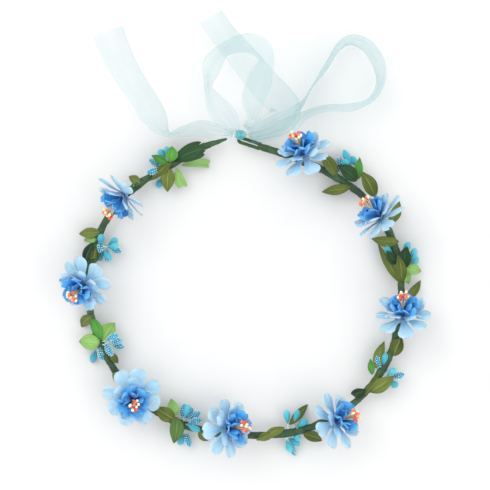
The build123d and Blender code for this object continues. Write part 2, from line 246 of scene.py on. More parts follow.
# Runs of the ribbon from the knot outwards: x, y, height of the lower edge above
# the floor, roll of the ribbon's width from flat, and the width it's gathered to.
RIBBON = {
    "tail_left": [
        (-7, 98, 6, 60, 7), (-18.5, 100, 2, 50, 16), (-28, 101.5, 1, 55, 20),
        (-39, 99.5, 0.5, 66, 20), (-48, 97.5, 0.3, 78, 20), (-54, 101.5, 0.3, 62, 20),
        (-59, 111, 0.3, 34, 20), (-65, 122, 0.3, 36, 20), (-74.5, 136, 0.3, 30, 20),
        (-81.5, 149.5, 0.3, 22, 20), (-88, 165, 0.3, 4, 20),
    ],
    "loop_left": [
        (-5, 100, 7, 40, 7), (-11, 108, 3, 25, 16), (-18.5, 117, 2, 50, 20),
        (-23, 128.5, 2.4, 76, 20), (-20.5, 141.5, 2.4, 55, 20), (-13, 151.5, 2.4, 68, 20),
        (0.5, 156, 2.4, 60, 20), (10.5, 153, 2.4, 55, 20), (14.5, 144.5, 2.4, 62, 20),
        (11, 134.5, 2.4, 40, 20), (6.5, 122, 2.8, 40, 20), (6.5, 110.5, 3.4, 60, 18),
        (1, 101.5, 8, 50, 7),
    ],
    "tail_centre": [
        (2, 98, 6, 20, 7), (12, 101.5, 1.5, 20, 14), (24, 107.5, 0.5, 16, 19),
        (26, 116.5, 0.3, 8, 20), (13, 131, 0.3, 10, 20), (-2, 149, 0.3, 24, 20),
        (-13, 162, 0.3, 32, 20), (-21.5, 173.5, 0.3, 34, 20),
    ],
    "loop_right": [
        (3, 97.5, 9, 20, 7), (14, 101, 6.5, 35, 14), (27, 107.5, 4.5, 58, 19),
        (36.5, 116, 1, 80, 20), (43.5, 127.5, 0.3, 86, 20), (53, 141.5, 0.3, 80, 20),
        (60, 153, 0.3, 78, 20), (69, 158, 0.3, 76, 20), (79.5, 153.5, 0.3, 72, 20),
        (86.5, 141.5, 0.3, 72, 20), (87, 129.5, 0.3, 76, 20), (80.5, 119.5, 0.3, 78, 20),
        (68, 115, 0.3, 70, 20), (52, 114.5, 0.3, 72, 20), (39, 110, 0.5, 70, 20),
        (27, 102.5, 2, 50, 18), (13, 98, 5, 35, 12), (4, 95.5, 7, 20, 7),
    ],
}

UP = Vector((0, 0, 1))


# ---- camera and light -----------------------------------------------------------
AIM = Vector((0.6, 26.9, 10)) * MM
FIELD = 313.6 * MM  # width of the view at the height of the hoop
DISTANCE = 1.1
SENSOR = 36.0

camera_data = bpy.data.cameras.new("camera")
camera_data.sensor_width = SENSOR
camera_data.lens = SENSOR * DISTANCE / FIELD
camera = bpy.data.objects.new("camera", camera_data)
camera.location = AIM + UP * DISTANCE
bpy.context.scene.collection.objects.link(camera)
bpy.context.scene.camera = camera
bpy.context.scene.view_settings.view_transform = "Standard"


def soft_box(name, place, size, power):
    """A square area light that faces the crown."""
    data = bpy.data.lights.new(name, "AREA")
    data.size = size
    data.energy = power
    light = bpy.data.objects.new(name, data)
    light.location = place
    light.rotation_mode = "QUATERNION"
    light.rotation_quaternion = (AIM - light.location).to_track_quat("-Z", "Y")
    bpy.context.scene.collection.objects.link(light)


soft_box("key", Vector((-0.9, 0.9, 1.6)), 1.2, 9)
soft_box("fill", Vector((1.2, -0.7, 1.5)), 1.2, 5)
world = bpy.data.worlds.new("studio")
world.use_nodes = True
world.node_tree.nodes["Background"].inputs["Color"].default_value = (1, 1, 1, 1)
world.node_tree.nodes["Background"].inputs["Strength"].default_value = 1.4
bpy.context.scene.world = world


# ---- materials ------------------------------------------------------------------
def tone(code):
    """A colour as written in hexadecimal, as linear red, green, blue and alpha."""
    parts = [int(code[at:at + 2], 16) / 255 for at in (0, 2, 4)]
    return tuple(c / 12.92 if c < 0.04045 else ((c + 0.055) / 1.055) ** 2.4 for c in parts) + (1,)


class Look:
    """A material, and short ways to add the nodes that feed it."""

    def __init__(self, name):
        self.material = bpy.data.materials.new(name)
        self.material.use_nodes = True
        self.tree = self.material.node_tree
        self.tree.nodes.clear()

    def node(self, kind, settings=None, **inputs):
        made = self.tree.nodes.new(kind)
        for key, value in (settings or {}).items():
            setattr(made, key, value)
        for key, value in inputs.items():
            self.feed(made.inputs[key.replace("_", " ")], value)
        return made

    def feed(self, socket, value):
        if isinstance(value, bpy.types.NodeSocket):
            self.tree.links.new(value, socket)
        else:
            socket.default_value = value

    def math(self, operation, *values):
        made = self.tree.nodes.new("ShaderNodeMath")
        made.operation = operation
        for socket, value in zip(made.inputs, values):
            self.feed(socket, value)
        return made.outputs[0]

    def surface_place(self):
        """How far across and along the piece's own cloth a point is."""
        place = self.node("ShaderNodeTexCoord").outputs["UV"]
        parts = self.node("ShaderNodeSeparateXYZ", Vector=place)
        return parts.outputs["X"], parts.outputs["Y"]

    def vary(self):
        """A number from 0 to 1 that differs from petal to petal and leaf to leaf."""
        return self.node("ShaderNodeAttribute", {"attribute_name": "vary"}).outputs["Fac"]

    def vector(self, x, y, z=0.0):
        return self.node("ShaderNodeCombineXYZ", X=x, Y=y, Z=z).outputs[0]

    def noise(self, scale, detail=2.0, vector=None):
        made = self.node("ShaderNodeTexNoise", Scale=scale, Detail=detail)
        place = vector or self.node("ShaderNodeTexCoord").outputs["Object"]
        self.feed(made.inputs["Vector"], place)
        return made.outputs[0]

    def ripple(self, position, turns):
        """A wave from 0 to 1 with that many turns for each unit of position."""
        wave = self.math("SINE", self.math("MULTIPLY", position, tau * turns))
        return self.math("MULTIPLY_ADD", wave, 0.5, 0.5)

    def ramp(self, value, *stops):
        made = self.node("ShaderNodeValToRGB", Fac=value)
        band = made.color_ramp.elements
        while len(band) < len(stops):
            band.new(1)
        for element, (position, colour) in zip(band, stops):
            element.position = position
            element.color = colour
        return made.outputs["Color"]

    def mix(self, share, first, second):
        made = self.node("ShaderNodeMix", {"data_type": "RGBA"})
        for socket, value in zip([made.inputs[0], made.inputs[6], made.inputs[7]], [share, first, second]):
            self.feed(socket, value)
        return made.outputs[2]

    def bump(self, height, depth, strength=1.0):
        made = self.node("ShaderNodeBump", Strength=strength, Distance=depth * MM, Height=height)
        return made.outputs[0]

    def finish(self, shader):
        self.node("ShaderNodeOutputMaterial", Surface=shader)
        return self.material

    def cloth(self, colour, normal, roughness, glow, sheen=0.2):
        """Thin cloth, which lets a share of the light through."""
        face = self.node("ShaderNodeBsdfPrincipled", Base_Color=colour, Roughness=roughness, Normal=normal)
        face.inputs["Sheen Weight"].default_value = sheen
        face.inputs["Specular IOR Level"].default_value = 0.25
        back = self.node("ShaderNodeBsdfTranslucent", Color=colour, Normal=normal)
        both = self.node("ShaderNodeMixShader")
        both.inputs[0].default_value = glow
        self.feed(both.inputs[1], face.outputs[0])
        self.feed(both.inputs[2], back.outputs[0])
        return self.finish(both.outputs[0])


def petal_look(name, root, middle, tip, painted_edge_light_and_shade, glow):
    """Dyed woven cloth: the dye fades from the petal's root to its edge, and a painted highlight lightens
    its sides as if they were lit along the rim.
    """
    look = Look(name)
    across, along = look.surface_place()
    blotch = look.noise(260, 3)
    shift = look.math("MULTIPLY_ADD", blotch, 0.3, look.math("MULTIPLY_ADD", look.vary(), 0.2, -0.25))
    dye = look.ramp(look.math("ADD", along, shift), (0.05, root), (0.42, middle), (0.85, tip))
    crease = look.ripple(look.math("ADD", across, look.math("MULTIPLY", blotch, 0.12)), 5)
    dye = look.mix(look.math("MULTIPLY", crease, 0.16), dye, middle)
    # Painted highlight: the petal's sides are mixed towards the lighter edge colour, as if lit along the
    # rim.
    rim = look.math("ABSOLUTE", look.math("MULTIPLY_ADD", across, 2.0, -1.0))
    dye = look.mix(look.math("MULTIPLY", look.math("POWER", rim, 6.0), 0.55), dye, painted_edge_light_and_shade)
    weave = look.math("MULTIPLY", look.ripple(across, 34), look.ripple(along, 66))
    height = look.math("MULTIPLY_ADD", crease, 1.4, look.math("MULTIPLY", weave, 0.5))
    return look.cloth(dye, look.bump(height, 0.12), 0.75, glow)


def leaf_look(name, shade, face, vein, glow):
    """Printed leaf cloth with a rib, fine veins along it and streaks of dye."""
    look = Look(name)
    across, along = look.surface_place()
    streak = look.noise(1.0, 4, look.vector(
        look.math("MULTIPLY", across, 15.0), look.math("MULTIPLY", along, 2.2),
        look.math("MULTIPLY", look.vary(), 40.0)))
    tint = look.math("MULTIPLY_ADD", look.vary(), 0.35, -0.17)
    dye = look.ramp(look.math("ADD", streak, tint), (0.28, shade), (0.66, face))
    off_rib = look.math("ABSOLUTE", look.math("MULTIPLY_ADD", across, 2.0, -1.0))
    rib = look.math("SUBTRACT", 1.0, look.math("MINIMUM", look.math("MULTIPLY", off_rib, 9.0), 1.0))
    slant = look.math("SUBTRACT", look.math("MULTIPLY", along, 1.6), look.math("MULTIPLY", off_rib, 0.55))
    side = look.ripple(slant, 7)
    lines = look.math("POWER", side, 9.0)
    grain = look.ripple(across, 13)
    dye = look.mix(look.math("MULTIPLY", lines, 0.35), dye, vein)
    dye = look.mix(look.math("MULTIPLY", grain, 0.22), dye, shade)
    dye = look.mix(look.math("MULTIPLY", rib, 0.6), dye, vein)
    veins = look.math("SUBTRACT", lines, look.math("MULTIPLY", rib, 1.6))
    height = look.math("ADD", look.math("MULTIPLY", grain, 0.6), veins)
    return look.cloth(dye, look.bump(height, 0.16), 0.55, glow, 0.1)


def tape_look():
    """Waxed crepe tape wound in a spiral, each turn's edge over the last. Its colour holds painted shade:
    darker in the crepe's hollows and just below each turn's edge, lighter on the ridges.
    """
    look = Look("floral_tape")
    around, along = look.surface_place()
    turn = look.math("FRACT", look.math("ADD", look.math("DIVIDE", along, TAPE_PITCH), around))
    crepe = look.noise(1.0, 4, look.vector(
        look.math("MULTIPLY", around, 9.0), look.math("MULTIPLY", along, 3.4)))
    blotch = look.noise(90, 2)
    # Painted shade: the crepe's hollows are darker and its ridges lighter. The broad blotches are the
    # tape's own uneven colour.
    crepe_shade_and_blotch = look.math("ADD", look.math("MULTIPLY", crepe, 0.55), look.math("MULTIPLY", blotch, 0.5))
    dye = look.ramp(crepe_shade_and_blotch, (0.3, tone("0F2812")), (0.52, tone("234623")), (0.78, tone("477440")))
    # Painted shadow: a dark band in the step just below each turn's edge, where the turn above overhangs
    # it.
    painted_edge_light_and_shade = look.math("POWER", look.math("SUBTRACT", 1.0, turn), 7.0)
    dye = look.mix(look.math("MULTIPLY", painted_edge_light_and_shade, 0.6), dye, tone("0E2412"))
    normal = look.bump(look.math("ADD", crepe, look.math("MULTIPLY", turn, 0.6)), 0.35)
    face = look.node("ShaderNodeBsdfPrincipled", Base_Color=dye, Normal=normal,
                     Roughness=look.math("MULTIPLY_ADD", crepe, 0.3, 0.4))
    return look.finish(face.outputs[0])


def stem_look():
    """The same tape on a flower's stem, whose solid has no cloth directions, with painted shade in the
    grooves of its wrap and crepe.
    """
    look = Look("stem_tape")
    crepe = look.noise(900, 4)
    place = look.node("ShaderNodeTexCoord").outputs["Object"]
    parts = look.node("ShaderNodeSeparateXYZ", Vector=place)
    slope = look.math("MULTIPLY", parts.outputs["X"], 0.4)
    band = look.ripple(look.math("ADD", parts.outputs["Z"], slope), 420)
    # Painted shade: the colour follows the wrap's grooves and the crepe, darker in the hollows and lighter
    # on the ridges.
    dye = look.ramp(look.math("MULTIPLY_ADD", band, 0.3, look.math("MULTIPLY", crepe, 0.6)),
                    (0.3, tone("1C3E20")), (0.6, tone("356B3A")), (0.85, tone("5B8F50")))
    face = look.node("ShaderNodeBsdfPrincipled", Base_Color=dye, Roughness=0.6,
                     Normal=look.bump(look.math("ADD", crepe, band), 0.15))
    return look.finish(face.outputs[0])


def pod_look(name, root, side, tip, lustre):
    """A satin pod, ribbed along its length."""
    look = Look(name)
    around, along = look.surface_place()
    rib = look.ripple(look.math("ADD", around, look.math("MULTIPLY", look.noise(300, 2), 0.1)), 9)
    shift = look.math("MULTIPLY_ADD", look.vary(), 0.35, -0.17)
    dye = look.ramp(look.math("ADD", along, shift), (0.1, root), (0.5, side), (0.95, tip))
    dye = look.mix(look.math("MULTIPLY", rib, 0.3), dye, root)
    face = look.node("ShaderNodeBsdfPrincipled", Base_Color=dye, Roughness=lustre,
                     Normal=look.bump(rib, 0.12))
    face.inputs["Sheen Weight"].default_value = 0.3
    face.inputs["Subsurface Weight"].default_value = 0.1
    face.inputs["Subsurface Scale"].default_value = 0.001
    return look.finish(face.outputs[0])


def glossy_look(name, low, high, roughness, grain):
    """Small dipped or moulded things: an uneven colour and a fine skin."""
    look = Look(name)
    patch = look.noise(grain, 2)
    shift = look.math("MULTIPLY_ADD", look.vary(), 0.5, -0.25)
    dye = look.ramp(look.math("ADD", patch, shift), (0.3, low), (0.7, high))
    face = look.node("ShaderNodeBsdfPrincipled", Base_Color=dye,
                     Roughness=look.math("MULTIPLY_ADD", patch, 0.25, roughness),
                     Normal=look.bump(patch, 0.05))
    face.inputs["Coat Weight"].default_value = 0.15
    return look.finish(face.outputs[0])


def wire_look():
    """Annealed steel wire, drawn along its length."""
    look = Look("annealed_wire")
    streak = look.noise(1500, 3)
    dye = look.ramp(streak, (0.3, tone("4A4C4C")), (0.7, tone("7C8080")))
    face = look.node("ShaderNodeBsdfPrincipled", Base_Color=dye, Normal=look.bump(streak, 0.02),
                     Roughness=look.math("MULTIPLY_ADD", streak, 0.3, 0.3))
    face.inputs["Metallic"].default_value = 1.0
    return look.finish(face.outputs[0])


def organza_look(name, colour, deep, density):
    """Sheer plain weave: threads with gaps, and a denser selvedge at each edge.
    Across runs over the ribbon's width, and along is in ribbon widths. The gaps
    close up where the ribbon stands, as they do when it's seen at a slant."""
    look = Look(name)
    across, along = look.surface_place()
    warp = look.ripple(across, 70)
    weft = look.ripple(along, 70)
    thread = look.math("MAXIMUM", warp, weft)
    slub = look.noise(1.0, 3, look.vector(
        look.math("MULTIPLY", across, 3.0), look.math("MULTIPLY", along, 1.3)))
    rim = look.math("ABSOLUTE", look.math("MULTIPLY_ADD", across, 2.0, -1.0))
    selvedge = look.math("SMOOTH_MIN", look.math("POWER", rim, 24.0), 1.0, 0.1)
    cover = look.math("MULTIPLY_ADD", thread, 0.06, density)
    cover = look.math("MAXIMUM", look.math("ADD", cover, look.math("MULTIPLY_ADD", slub, 0.1, -0.05)), 0.01)
    facing = look.node("ShaderNodeSeparateXYZ", Vector=look.node("ShaderNodeNewGeometry").outputs["Normal"])
    flat = look.math("MAXIMUM", look.math("ABSOLUTE", facing.outputs["Z"]), 0.14)
    open_share = look.math("POWER", look.math("SUBTRACT", 1.0, cover), look.math("DIVIDE", 1.0, flat))
    cover = look.math("SUBTRACT", 1.0, open_share)
    cover = look.math("MAXIMUM", cover, look.math("MULTIPLY", selvedge, 0.42))
    dye = look.mix(slub, colour, deep)
    dye = look.mix(look.math("MULTIPLY", selvedge, 0.5), dye, deep)
    face = look.node("ShaderNodeBsdfPrincipled", Base_Color=dye, Roughness=0.45, Alpha=cover,
                     Normal=look.bump(thread, 0.05))
    face.inputs["Sheen Weight"].default_value = 0.35
    face.inputs["Specular IOR Level"].default_value = 0.4
    return look.finish(face.outputs[0])


def floor_look():
    look = Look("floor")
    speck = look.noise(40, 2)
    shade = look.ramp(speck, (0.3, (0.645, 0.645, 0.645, 1)), (0.7, (0.655, 0.655, 0.655, 1)))
    face = look.node("ShaderNodeBsdfPrincipled", Base_Color=shade, Roughness=0.9)
    face.inputs["Specular IOR Level"].default_value = 0.1
    return look.finish(face.outputs[0])


# The fourth colour of each petal is a painted highlight for its rim.
PALE = petal_look("pale_petal", tone("98CFEE"), tone("B8DFF2"), tone("CCE8F4"), tone("DCF0F7"), 0.3)
# The middle ring's cloth is a shaded copy of the pale one. Its bluer tint is the cloth's own, and its
# darker tone all over is painted shade for a ring that lies under the blue petals.
SHADED_PALE = petal_look("shaded_pale_petal", tone("80BFEC"), tone("AAD6F0"), tone("C2E2F3"), tone("D6ECF7"), 0.3)
BLUE = petal_look("blue_petal", tone("1C78CE"), tone("3EA6EA"), tone("66BEF6"), tone("92D2FA"), 0.25)
DEEP = petal_look("deep_petal", tone("1462C2"), tone("2E94E2"), tone("54B0F2"), tone("7AC2F8"), 0.2)
LEAF = {
    "olive": leaf_look("olive_leaf", tone("44540F"), tone("728238"), tone("B2B870"), 0.12),
    "dark": leaf_look("dark_leaf", tone("122F15"), tone("274F28"), tone("4A7440"), 0.06),
    "green": leaf_look("green_leaf", tone("335828"), tone("5A7E3A"), tone("8CA864"), 0.1),
    "bright": leaf_look("bright_leaf", tone("367C2C"), tone("5FAE44"), tone("96D47C"), 0.2),
    "light": leaf_look("light_leaf", tone("8ABE5C"), tone("B2DE86"), tone("D4F2B4"), 0.3),
}
TAPE = tape_look()
STEM = stem_look()
WIRE = wire_look()
POD = pod_look("cyan_pod", tone("167F98"), tone("2AA4B8"), tone("5CC6D0"), 0.42)
CORE = pod_look("bead_core", tone("065878"), tone("0A769C"), tone("1494B6"), 0.35)
PEARL = glossy_look("pearl_bead", tone("7CD2E0"), tone("D2F2F6"), 0.2, 500)
FIBRE = glossy_look("bud_thread", tone("8FC9C8"), tone("D8EEDD"), 0.5, 800)
FILAMENT = glossy_look("filament", tone("C9B68E"), tone("EFE3C4"), 0.5, 600)
CORAL = glossy_look("coral_tip", tone("D93A22"), tone("FF8A5C"), 0.35, 420)
CREAM = glossy_look("cream_tip", tone("DECB92"), tone("F8F0CE"), 0.35, 420)
ORGANZA = organza_look("organza", tone("74C4C8"), tone("4FAAB0"), 0.06)
GATHERED = organza_look("organza_knot", tone("6CD0D8"), tone("3FB4C0"), 0.3)


# ---- making pieces --------------------------------------------------------------
class Shape:
    """Gathers faces, in millimetres, and makes one piece of them."""

    def __init__(self):
        self.points, self.faces, self.looks = [], [], []
        self.places, self.varies = [], []

    def grid(self, rows, look=0, closed=False, capped=False, across=(0, 1), along=(0, 1), vary=0.5):
        """A surface through rows of points. Closed: each row meets itself."""
        start, count = len(self.points), len(rows[0])
        spans = count if closed else count - 1
        for row in rows:
            self.points.extend(row)
        self.varies.extend([vary] * (count * len(rows)))
        for i in range(len(rows) - 1):
            low, high = (along[0] + (along[1] - along[0]) * (i + k) / (len(rows) - 1) for k in (0, 1))
            for j in range(spans):
                left, right = (across[0] + (across[1] - across[0]) * (j + k) / spans for k in (0, 1))
                a, b = start + i * count + j, start + i * count + (j + 1) % count
                self.faces.append((a, b, b + count, a + count))
                self.places.extend([(left, low), (right, low), (right, high), (left, high)])
                self.looks.append(look)
        if capped:
            self.cap([start + j for j in range(count)][::-1], look, along[0], vary)
            self.cap([start + (len(rows) - 1) * count + j for j in range(count)], look, along[1], vary)

    def cap(self, ring, look, along, vary):
        self.points.append(sum((self.points[k] for k in ring), Vector()) / len(ring))
        self.varies.append(vary)
        middle = len(self.points) - 1
        for j, k in enumerate(ring):
            self.faces.append((k, ring[(j + 1) % len(ring)], middle))
            self.places.extend([((j + share) / len(ring), along) for share in (0, 1, 0.5)])
            self.looks.append(look)

    def build(self, name, looks, body, nodes, cloth=0):
        """The piece itself, on its body and in place of its CAD nodes."""
        mesh = bpy.data.meshes.new(name)
        mesh.from_pydata([tuple(point * MM) for point in self.points], [], self.faces)
        for material in looks:
            mesh.materials.append(material)
        mesh.polygons.foreach_set("material_index", self.looks)
        mesh.polygons.foreach_set("use_smooth", [True] * len(self.faces))
        places = mesh.uv_layers.new(name="UVMap")
        places.data.foreach_set("uv", [value for place in self.places for value in place])
        mesh.attributes.new("vary", "FLOAT", "POINT").data.foreach_set("value", self.varies)
        mesh.validate()
        piece = bpy.data.objects.new(name, mesh)
        bpy.context.scene.collection.objects.link(piece)
        if cloth:
            shell = piece.modifiers.new("cloth", "SOLIDIFY")
            shell.thickness = cloth * MM
            shell.offset = 0
        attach(piece, body)
        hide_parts(*nodes)
        return piece


def even(line, count):
    """That many points spaced evenly along a line of points."""
    reach = [0.0]
    for a, b in zip(line, line[1:]):
        reach.append(reach[-1] + (b - a).length)
    spaced, at = [], 0
    for step in range(count):
        goal = reach[-1] * step / (count - 1)
        while at < len(line) - 2 and reach[at + 1] < goal:
            at += 1
        share = (goal - reach[at]) / max(reach[at + 1] - reach[at], 1e-9)
        spaced.append(line[at].lerp(line[at + 1], min(share, 1)))
    return spaced


def length_of(line):
    return sum((b - a).length for a, b in zip(line, line[1:]))


def flowing(corners, count):
    """An even line that runs smoothly round corners, as a wire is bent by hand."""
    line = []
    for i in range(1, len(corners) - 1):
        start = corners[0] if i == 1 else (corners[i - 1] + corners[i]) / 2
        end = corners[-1] if i == len(corners) - 2 else (corners[i] + corners[i + 1]) / 2
        for step in range(12):
            t = step / 12
            line.append(start * (1 - t) ** 2 + corners[i] * 2 * t * (1 - t) + end * t * t)
    return even(line + [corners[-1]], count)


def through(values, count):
    """Lists of numbers that pass smoothly through the given ones (Catmull-Rom)."""
    made = []
    last = len(values) - 1
    for step in range(count):
        at = step / (count - 1) * last
        i = min(int(at), last - 1)
        t = at - i
        four = [values[max(0, min(last, i + k))] for k in (-1, 0, 1, 2)]
        made.append([
            0.5 * (2 * b + (c - a) * t + (2 * a - 5 * b + 4 * c - d) * t * t
                   + (3 * b - a - 3 * c + d) * t ** 3)
            for a, b, c, d in zip(*four)
        ])
    return made


def heading(line, i):
    return (line[min(i + 1, len(line) - 1)] - line[max(i - 1, 0)]).normalized()


def tube(shape, line, radius, sides, look=0, along=(0, 1), vary=0.5):
    """A round tube along a line. radius(t, turn) is its radius there."""
    rows = []
    for i, middle in enumerate(line):
        ahead = heading(line, i)
        side = (ahead.cross(UP) if abs(ahead.z) < 0.95 else ahead.cross(Vector((1, 0, 0)))).normalized()
        up = side.cross(ahead)
        t = i / (len(line) - 1)
        row = []
        for j in range(sides):
            turn = tau * j / sides
            row.append(middle + (side * cos(turn) + up * sin(turn)) * radius(t, j / sides))
        rows.append(row)
    shape.grid(rows, look, closed=True, capped=True, along=along, vary=vary)


def bearings(azimuth, elevation):
    """Unit vectors ahead, to the left and up for something that faces that way."""
    turn, rise = radians(azimuth), radians(elevation)
    ahead = Vector((cos(turn) * cos(rise), sin(turn) * cos(rise), sin(rise)))
    left = Vector((-sin(turn), cos(turn), 0))
    return ahead, left, ahead.cross(left)


# ---- the hoop -------------------------------------------------------------------
HOOP = flowing([Vector((x, y, HOOP_HEIGHT)) for x, y in BAND], 760)
HOOP_LENGTH = length_of(HOOP)
FEET = [Vector(joint["pos_m"]) / MM for joint in frame["joints"]]
TIED = FEET + [Vector(base) for cluster in BUDS for base, tip, radius in cluster]


ROUTE = kdtree.KDTree(len(HOOP))
for index, point in enumerate(HOOP):
    ROUTE.insert(point, index)
ROUTE.balance()


def over_tape(point, share):
    """The point, raised by a share of what lifts it clear of the tape."""
    gap = (ROUTE.find(Vector((point.x, point.y, HOOP_HEIGHT)))[0] - point).xy.length
    top = HOOP_HEIGHT + sqrt(max(0, TAPE_CLEAR ** 2 - gap * gap))
    if gap < TAPE_CLEAR and point.z > HOOP_HEIGHT - 3:
        point.z += max(0, top - point.z) * share
    return point


def nearest_on_hoop(place):
    return min(HOOP, key=lambda point: (point.x - place.x) ** 2 + (point.y - place.y) ** 2)


def tape_radius(line, length, thin=lambda t: 1.0):
    """Wrapped tape: a step at each turn's edge, creases, and more turns of it
    where stems and threads are tied in."""
    def radius(t, turn):
        middle = line[round(t * (len(line) - 1))]
        wound = (length * t / TAPE_PITCH + turn) % 1
        tied = min((middle - foot).xy.length for foot in TIED)
        swell = 0.5 * max(0, 1 - tied / 9) ** 0.7
        crease = noise.noise(Vector((turn * 7, length * t / 2.2, 0)))
        lump = noise.noise(Vector((0, length * t / 9, 5)))
        return (TAPE_RADIUS + swell + 0.28 * wound + 0.16 * crease + 0.3 * lump) * thin(t)
    return radius


def make_hoop():
    wrap = Shape()
    tube(wrap, HOOP, tape_radius(HOOP, HOOP_LENGTH), 20, along=(0, HOOP_LENGTH))
    point = even([HOOP[3], HOOP[0], Vector((*LEFT_TIP, HOOP_HEIGHT))], 30)
    reach = length_of(point)
    tube(wrap, point, tape_radius(point, reach, lambda t: 1.04 - 0.74 * t ** 1.5), 20, along=(0, reach))
    splice = even([HOOP[-2], HOOP[-1], HOOP[-1] + heading(HOOP, len(HOOP) - 1) * 3.4], 14)
    reach = length_of(splice)
    tube(wrap, splice, tape_radius(splice, reach, lambda t: 1.02 - 0.5 * t ** 1.5), 20, along=(0, reach))
    wrap.build("hoop_wrap", [TAPE], "band", ["floral_tape"])


def make_eyelet():
    start, end = HOOP[-1], Vector((*EYELET_END, HOOP_HEIGHT))
    ahead = (end - start).normalized()
    side = ahead.cross(UP)
    half, bow = (end - start).length / 2, EYE_WIDTH / 2 - EYE_BAR
    middle = (start + end) / 2
    line = []
    for step in range(49):
        turn = tau * step / 48
        shift = ahead * (half - EYE_BAR - bow) * (1 if cos(turn) > 0 else -1)
        line.append(middle + shift + (ahead * cos(turn) + side * sin(turn)) * bow)
    line = even(line, 64)
    rows = []
    for i, place in enumerate(line[:-1]):
        along = (line[i + 1] - line[i - 1 if i else -2]).normalized()
        outward = along.cross(UP)
        row = []
        for j in range(14):
            turn = tau * j / 14
            crease = 0.08 * noise.noise(place / 1.5 + Vector((turn, 0, 0)))
            step = 0.12 * ((i / 9 + j / 14) % 1)
            row.append(place + (outward * cos(turn) + UP * sin(turn)) * (EYE_BAR - 0.1 + step + crease))
        rows.append(row)
    rows.append(rows[0])
    wrap = Shape()
    wrap.grid(rows, closed=True, along=(0, length_of(line)))
    wrap.build("eyelet_wrap", [TAPE], "band", ["ribbon_eyelet"])


# ---- flower heads ---------------------------------------------------------------
def spoon(t, root, tip, widest):
    """Half-width of a petal, from its narrow root to its round end."""
    if t < widest:
        share = (t / widest) ** 1.9
        return root + (tip - root) * share * share * (3 - 2 * share)
    return tip * sqrt(max(0, 1 - ((t - widest) / (1 - widest)) ** 2))


def petal(shape, ring, hub, facing, turn, tilt, chance, look):
    """One petal: its rib bends outward from the hub, and its blade is cupped,
    folded, twisted and ruffled a little differently from the next."""
    ahead, left, up = facing
    outward = up * cos(turn) + left * sin(turn)
    side = ahead.cross(outward)
    steps, ribs = 18, 12
    length = ring["length"] * chance.uniform(0.92, 1.06)
    wide = ring["tip"] * chance.uniform(0.9, 1.1)
    bend = ring["bend"] * chance.uniform(0.6, 1.5)
    twist = radians(chance.uniform(-1, 1) * ring["twist"])
    wave, pace = chance.uniform(0, tau), chance.uniform(1.2, 1.9)
    lean = tilt + chance.uniform(-1, 1) * ring["sway"] * 0.6
    notch = chance.uniform(0, 0.7)
    place = hub + ahead * ring["offset"] + outward * 0.7
    rows = []
    for i in range(steps + 1):
        t = sin(pi / 2 * i / steps) ** 0.92
        before = sin(pi / 2 * (i - 1) / steps) ** 0.92 if i else 0
        angle = radians(lean + bend * (2 * t - 1))
        along = ahead * cos(angle) + outward * sin(angle)
        face = along.cross(side) * -1
        place = place + along * length * (t - before) * 0.985
        roll = twist * t
        across = side * cos(roll) + face * sin(roll)
        normal = face * cos(roll) - side * sin(roll)
        half = spoon(t * 0.985, ring["root"], wide, ring["widest"])
        row = []
        for j in range(ribs + 1):
            v = 2 * j / ribs - 1
            rise = ring["cup"] * half * v * v
            rise += ring["fold"] * half * (abs(v) - 0.4)
            rise += ring["ruffle"] * t * t * sin(pi * pace * v + wave)
            rise += 0.5 * noise.noise(Vector((v * 1.5 + wave, t * 3, length)))
            pull = notch * t ** 6 * (1 - abs(v)) + 0.35 * noise.noise(Vector((v * 4, wave, t)))
            row.append(place + across * v * half + normal * rise - along * pull * t)
        rows.append(row)
    shape.grid(rows, look, vary=chance.random())


def petal_ring(shape, ring, hub, facing, lower_tilt, chance, look=0):
    upper, lower = ring["tilts"]
    lower = lower_tilt if lower is None else lower
    for number in range(ring["count"]):
        sway = chance.uniform(-1, 1) * ring["sway"]
        turn = radians(ring["phase"] + 360 * number / ring["count"] + sway)
        tilt = (upper + lower) / 2 + (upper - lower) / 2 * cos(turn)
        petal(shape, ring, hub, facing, turn, tilt, chance, look)


def heart_disc(shape, hub, facing, radius, offset, look=0):
    """The uncut middle that joins a ring of petals."""
    ahead, left, up = facing
    rows = []
    for step in range(5):
        out = 0.62 + (radius - 0.62) * step / 4
        height = offset + 0.25 * (out / radius) ** 2 - 0.15
        rows.append([
            hub + ahead * height + (up * cos(tau * j / 20) + left * sin(tau * j / 20)) * out
            for j in range(20)
        ])
    shape.grid(rows, look, closed=True, along=(0, 0.15))


def pod(shape, base, tip, radius, look=0, sides=14, steps=14, fat=0.55, vary=0.5, ribs=0):
    """A long round bud, fullest at fat of its length."""
    ahead = (tip - base).normalized()
    side = ahead.cross(UP if abs(ahead.z) < 0.95 else Vector((1, 0, 0))).normalized()
    up = side.cross(ahead)
    length = (tip - base).length
    rows = []
    for i in range(steps + 1):
        t = (1 - cos(pi * i / steps)) / 2
        t = 0.004 + t * 0.992
        bulge = sin(pi * t ** (0.693 / -log(fat)))
        row = []
        for j in range(sides):
            turn = tau * j / sides
            out = radius * bulge ** 0.62 * (1 + ribs * cos(5 * turn))
            row.append(base + ahead * length * t + (side * cos(turn) + up * sin(turn)) * out)
        rows.append(row)
    shape.grid(rows, look, closed=True, capped=True, vary=vary)


